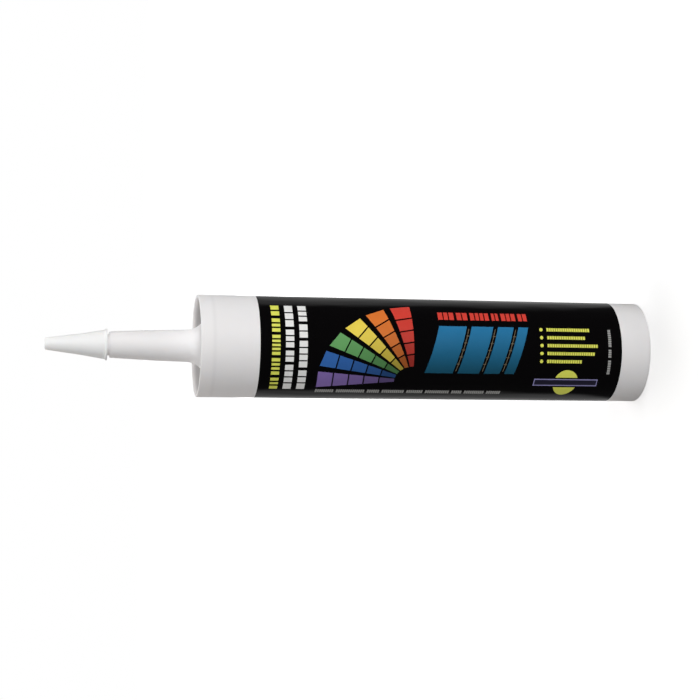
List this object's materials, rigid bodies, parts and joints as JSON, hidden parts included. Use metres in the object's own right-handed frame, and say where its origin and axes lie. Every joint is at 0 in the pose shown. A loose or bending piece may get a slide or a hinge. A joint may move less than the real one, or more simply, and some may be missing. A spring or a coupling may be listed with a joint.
{
  "type": "caulk tube",
  "caption": "Sealant cartridge stood on its open rear end: barrel in a printed film label, sunk front wall with an integral tapered nozzle, push-on cap and sliding plunger.",
  "frame": {"origin": "centre of the barrel's rear rim, which it stands on", "axes": "+Z along the tube's axis towards the nozzle, -Y out of the middle of the label's printed side, +X towards the top of the print's lines"},
  "size_m": [0.0502, 0.0503, 0.2971],
  "materials": {
    "barrel_plastic": "satin white",
    "cap_plastic": "satin white",
    "foil": "bright foil",
    "sealant": "smooth paste",
    "plunger_plastic": "satin natural",
    "label_film": "glossy black",
    "print_lime": "glossy ink",
    "print_white": "glossy ink",
    "print_teal": "glossy ink",
    "print_red": "glossy ink",
    "print_orange": "glossy ink",
    "print_gold": "glossy ink",
    "print_green": "glossy ink",
    "print_blue": "glossy ink",
    "print_violet": "glossy ink"
  },
  "bodies": {
    "cartridge": {"cartridge_body": "barrel_plastic", "foil_seal": "foil", "sealant": "sealant", "label": "label_film", "print_lime": "print_lime", "print_white": "print_white", "print_teal": "print_teal", "print_red": "print_red", "print_orange": "print_orange", "print_gold": "print_gold", "print_green": "print_green", "print_blue": "print_blue", "print_violet": "print_violet"},
    "cap": {"nozzle_cap": "cap_plastic"},
    "plunger": {"plunger": "plunger_plastic"}
  },
  "joints": [
    {"name": "cap_pull", "type": "slide", "parent": "cartridge", "child": "cap", "axis": [0, 0, 1], "range_m": [0, 0.03]},
    {"name": "plunger_push", "type": "slide", "parent": "cartridge", "child": "plunger", "axis": [0, 0, 1], "range_m": [0, 0.175], "deforming": ["sealant"]}
  ]
}
